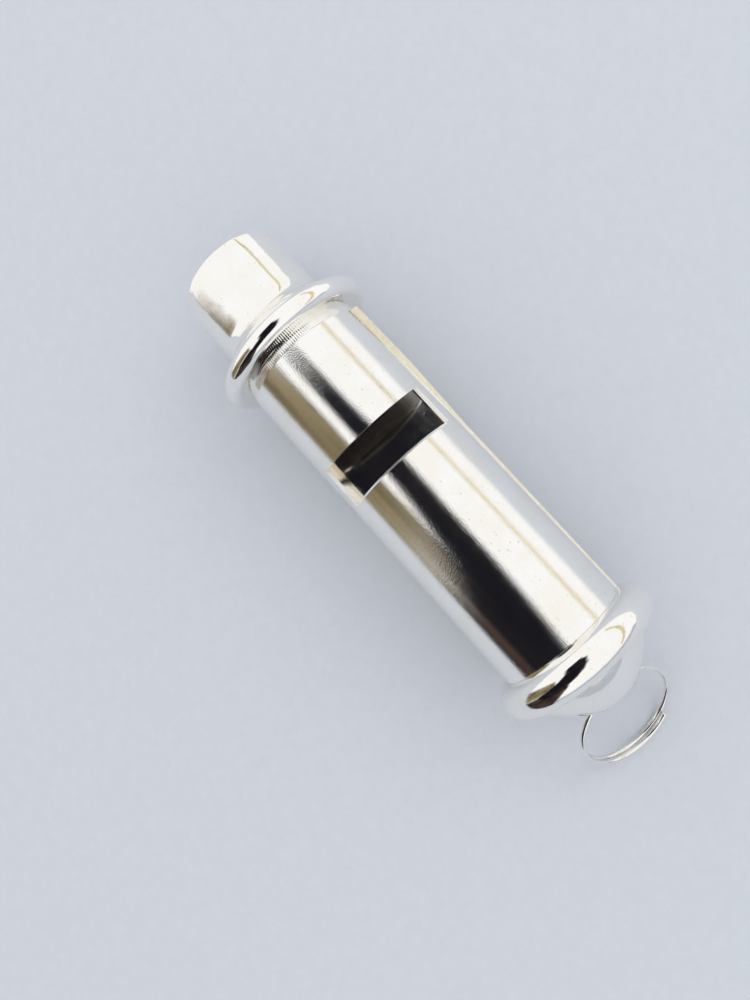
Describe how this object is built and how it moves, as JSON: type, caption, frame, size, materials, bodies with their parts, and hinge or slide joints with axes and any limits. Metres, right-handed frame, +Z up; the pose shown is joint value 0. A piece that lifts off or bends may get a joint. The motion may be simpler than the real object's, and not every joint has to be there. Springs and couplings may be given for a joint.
{
  "type": "tubular whistle",
  "caption": "Plated tubular whistle with a beaded round mouthpiece, chord-cut sound windows, a domed end cap and a split ring that swings on a lug.",
  "frame": {"origin": "centre of the mouthpiece's open end", "axes": "+X along the barrel from the mouthpiece to the ring, +Z up through the front window with the whistle lying on its beads, +Y to the side of the lap seam"},
  "size_m": [0.0896, 0.0244, 0.0244],
  "materials": {
    "polished_nickel": "polished nickel plate",
    "barrel_nickel": "nickel plate with fine speckle and wear",
    "inner_brass": "bare brass, plated where it shows",
    "ring_steel": "bright plated spring wire"
  },
  "bodies": {
    "whistle": {"mouthpiece": "polished_nickel", "barrel": "barrel_nickel", "front_fipple_block": "polished_nickel", "rear_fipple_block": "polished_nickel", "partition": "polished_nickel", "tone_stop": "inner_brass", "end_disc": "inner_brass", "end_cap": "polished_nickel", "ring_lug": "polished_nickel"},
    "ring": {"split_ring": "ring_steel"}
  },
  "joints": [
    {"name": "ring_swing", "type": "hinge", "parent": "whistle", "child": "ring", "pos_m": [0.07785, 0, -0.0005], "axis": [0, -1, 0], "range_deg": [-8, 64]}
  ]
}
